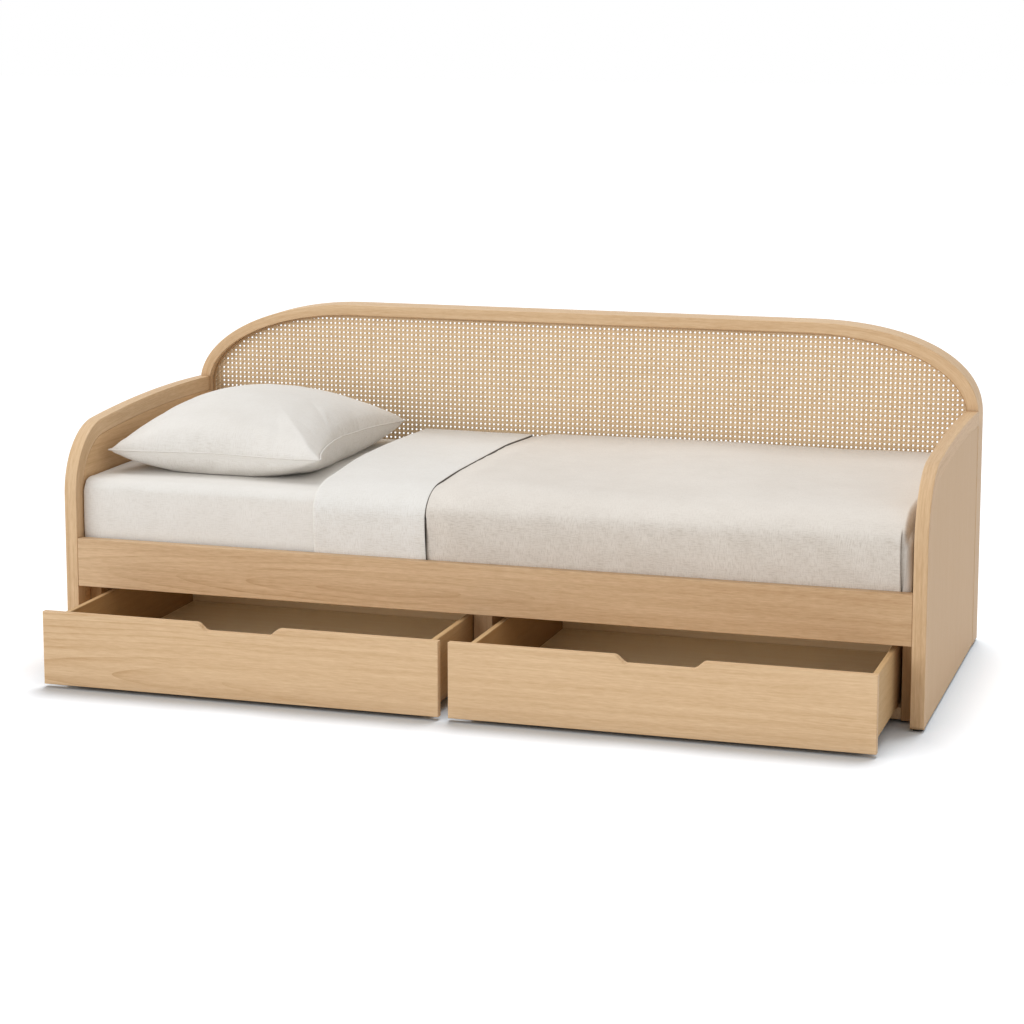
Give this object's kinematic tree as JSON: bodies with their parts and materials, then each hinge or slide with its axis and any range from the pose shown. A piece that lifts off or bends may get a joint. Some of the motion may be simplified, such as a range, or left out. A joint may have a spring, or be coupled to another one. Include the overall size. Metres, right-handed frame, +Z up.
{
  "type": "storage daybed",
  "caption": "Daybed with a cane-filled arched back, curved wooden arms, mattress, pillow and coverlet, over open underbed drawers with hand notches.",
  "frame": {"origin": "centre of the bounding box on the floor, with both drawers pulled out 218 mm", "axes": "+X along the bed to its right end as seen from the front, +Y to the back, +Z up"},
  "size_m": [1.99, 1.068, 0.765],
  "materials": {
    "oak": "light natural oak, matt lacquer",
    "oak_veneer": "oak veneer, matt",
    "pale_ply": "pale plywood, unlacquered",
    "cane": "natural woven cane",
    "glide_plastic": "matt black",
    "mattress_cover": "white woven cotton",
    "pillow_linen": "white woven linen",
    "sheet_linen": "white woven linen",
    "coverlet_linen": "beige slub linen"
  },
  "bodies": {
    "frame": {"back_arch": "oak", "back_rail": "oak", "cane_spline": "cane", "cane_webbing": "cane", "centre_partition": "oak_veneer", "coverlet": "coverlet_linen", "drawer_runner_1_left": "oak", "drawer_runner_1_right": "oak", "drawer_runner_2_left": "oak", "drawer_runner_2_right": "oak", "front_rail": "oak", "glide_back_left": "glide_plastic", "glide_back_right": "glide_plastic", "glide_front_left": "glide_plastic", "glide_front_right": "glide_plastic", "glide_partition_back": "glide_plastic", "glide_partition_front": "glide_plastic", "mattress": "mattress_cover", "pillow": "pillow_linen", "runner_board_left": "oak_veneer", "runner_board_right": "oak_veneer", "side_band_left": "oak", "side_band_right": "oak", "side_panel_left": "oak_veneer", "side_panel_right": "oak_veneer", "slat_01": "pale_ply", "slat_02": "pale_ply", "slat_03": "pale_ply", "slat_04": "pale_ply", "slat_05": "pale_ply", "slat_06": "pale_ply", "slat_07": "pale_ply", "slat_08": "pale_ply", "slat_09": "pale_ply", "slat_10": "pale_ply", "slat_11": "pale_ply", "slat_12": "pale_ply", "slat_13": "pale_ply", "slat_ledge_back": "pale_ply", "slat_ledge_front": "pale_ply", "top_sheet_fold": "sheet_linen"},
    "drawer_1": {"drawer_1_back": "pale_ply", "drawer_1_bottom": "pale_ply", "drawer_1_front": "oak", "drawer_1_guide_left": "oak", "drawer_1_guide_right": "oak", "drawer_1_side_left": "pale_ply", "drawer_1_side_right": "pale_ply"},
    "drawer_2": {"drawer_2_back": "pale_ply", "drawer_2_bottom": "pale_ply", "drawer_2_front": "oak", "drawer_2_guide_left": "oak", "drawer_2_guide_right": "oak", "drawer_2_side_left": "pale_ply", "drawer_2_side_right": "pale_ply"}
  },
  "joints": [
    {"name": "drawer_1_slide", "type": "slide", "parent": "frame", "child": "drawer_1", "axis": [0, -1, 0], "range_m": [-0.218, 0.232]},
    {"name": "drawer_2_slide", "type": "slide", "parent": "frame", "child": "drawer_2", "axis": [0, -1, 0], "range_m": [-0.218, 0.232]}
  ]
}
